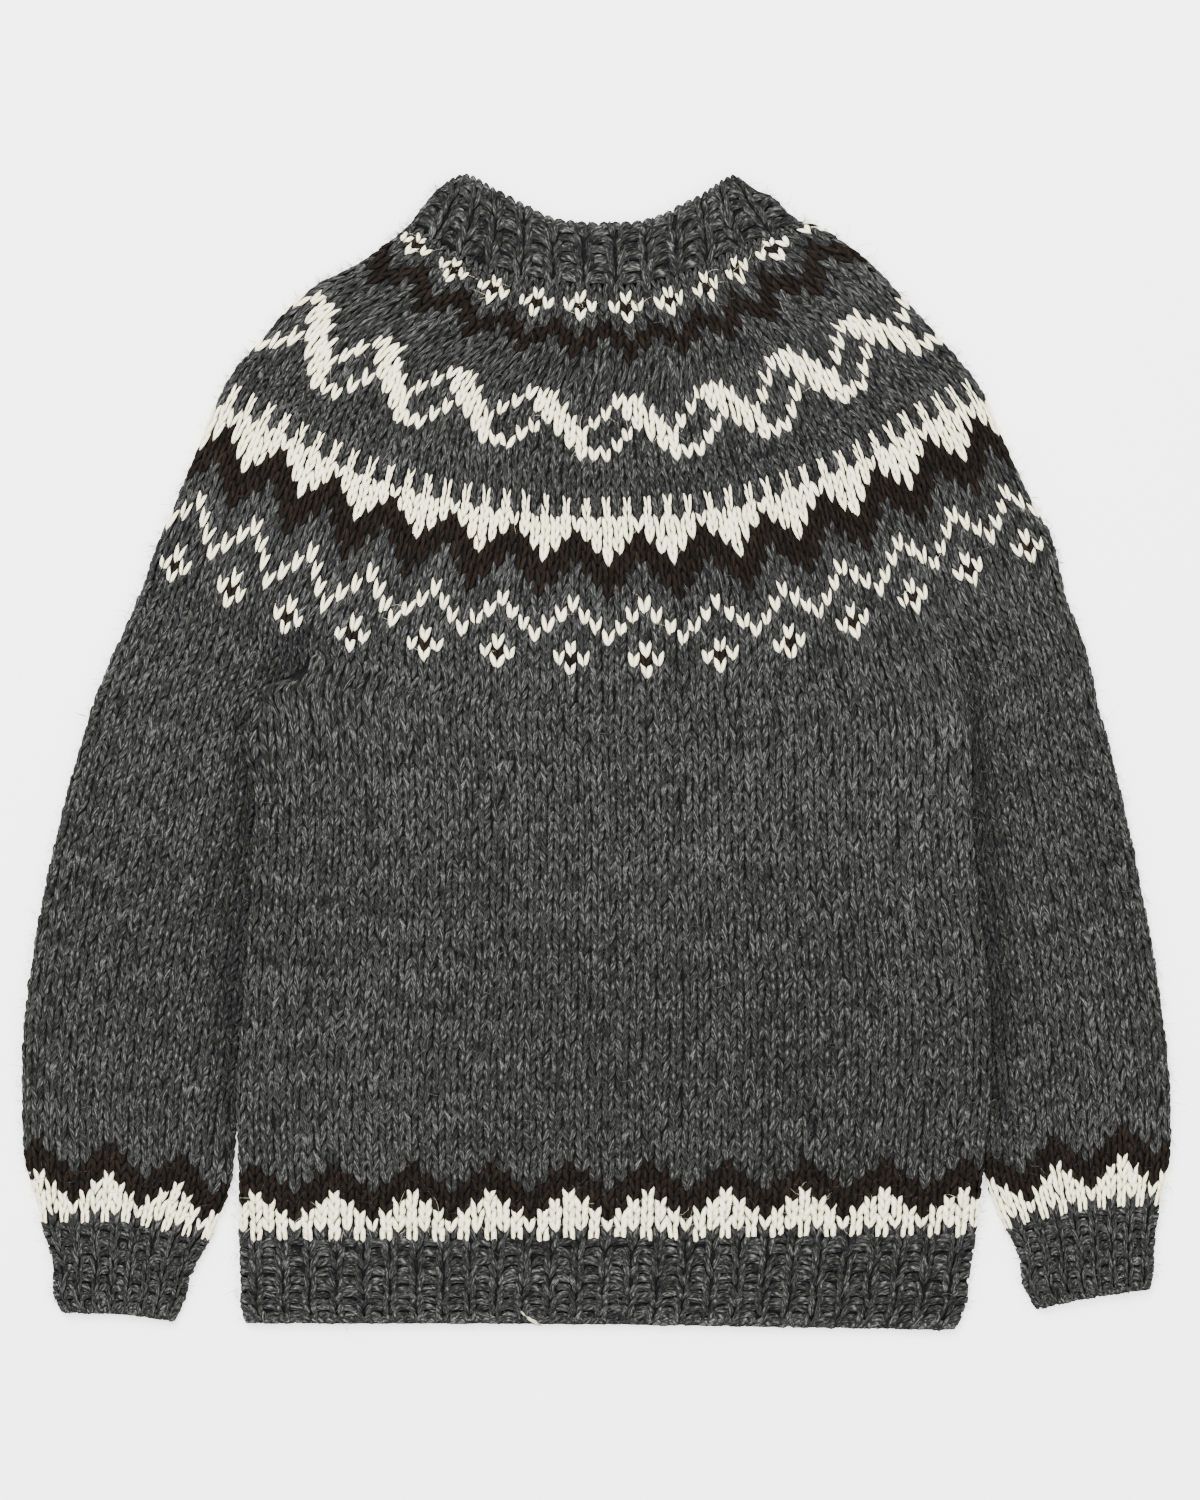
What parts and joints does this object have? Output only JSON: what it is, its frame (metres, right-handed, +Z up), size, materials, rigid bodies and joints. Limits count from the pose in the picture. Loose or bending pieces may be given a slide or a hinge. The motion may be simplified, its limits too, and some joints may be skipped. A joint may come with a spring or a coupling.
{
  "type": "nordic yoke sweater",
  "caption": "Hand-knitted wool pullover with a round patterned yoke, patterned hem and cuffs and ribbed edges, laid flat with its sleeves beside the body.",
  "frame": {"origin": "middle of the footprint, on the surface that the sweater lies on", "axes": "+X across the garment, +Y from the hem to the neck, +Z up from the surface, through the front of the garment"},
  "size_m": [0.662, 0.6617, 0.0159],
  "materials": {
    "charcoal_wool": "matte",
    "cream_wool": "matte",
    "black_brown_wool": "matte"
  },
  "bodies": {
    "root": {"body": "charcoal_wool", "yoke": "charcoal_wool", "sleeve_left": "charcoal_wool", "sleeve_right": "charcoal_wool", "neckband": "charcoal_wool", "hem_rib": "charcoal_wool", "cuff_left": "charcoal_wool", "cuff_right": "charcoal_wool"}
  },
  "joints": []
}
